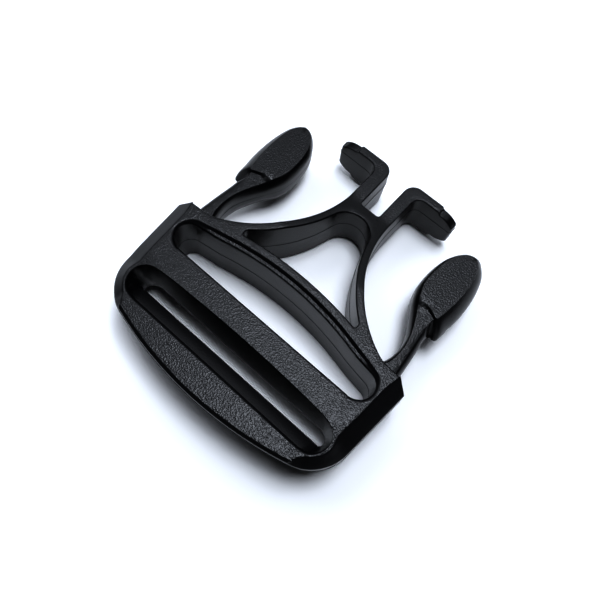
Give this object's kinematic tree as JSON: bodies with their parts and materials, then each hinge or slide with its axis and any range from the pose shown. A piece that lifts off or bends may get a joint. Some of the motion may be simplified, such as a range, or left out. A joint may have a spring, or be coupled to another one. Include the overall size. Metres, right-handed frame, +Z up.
{
  "type": "side-release buckle plug",
  "caption": "Plug half of a side-release buckle: ladder-lock strap frame, arch with guide stems, and a spring prong on each shoulder.",
  "frame": {"origin": "middle of the footprint, on the surface that the buckle lies on", "axes": "+Y towards the guide tips, along which the plug enters its socket; +X across the webbing, towards the right prong; +Z up, out of the upper face"},
  "size_m": [0.0472, 0.052, 0.012],
  "materials": {
    "moulding": "black moulded acetal, fine spark-eroded grain on the upper and lower faces, smoother glossy walls"
  },
  "bodies": {
    "frame": {"frame": "moulding"},
    "prong_left": {"prong_left": "moulding"},
    "prong_right": {"prong_right": "moulding"}
  },
  "joints": [
    {"name": "squeeze_left", "type": "hinge", "parent": "frame", "child": "prong_left", "pos_m": [-0.0198, -0.0031, 0.006], "axis": [0, 0, -1], "range_deg": [0, 11], "stiffness_Nm_per_rad": 0.5},
    {"name": "squeeze_right", "type": "hinge", "parent": "frame", "child": "prong_right", "pos_m": [0.0198, -0.0031, 0.006], "axis": [0, 0, 1], "range_deg": [0, 11], "stiffness_Nm_per_rad": 0.5}
  ]
}
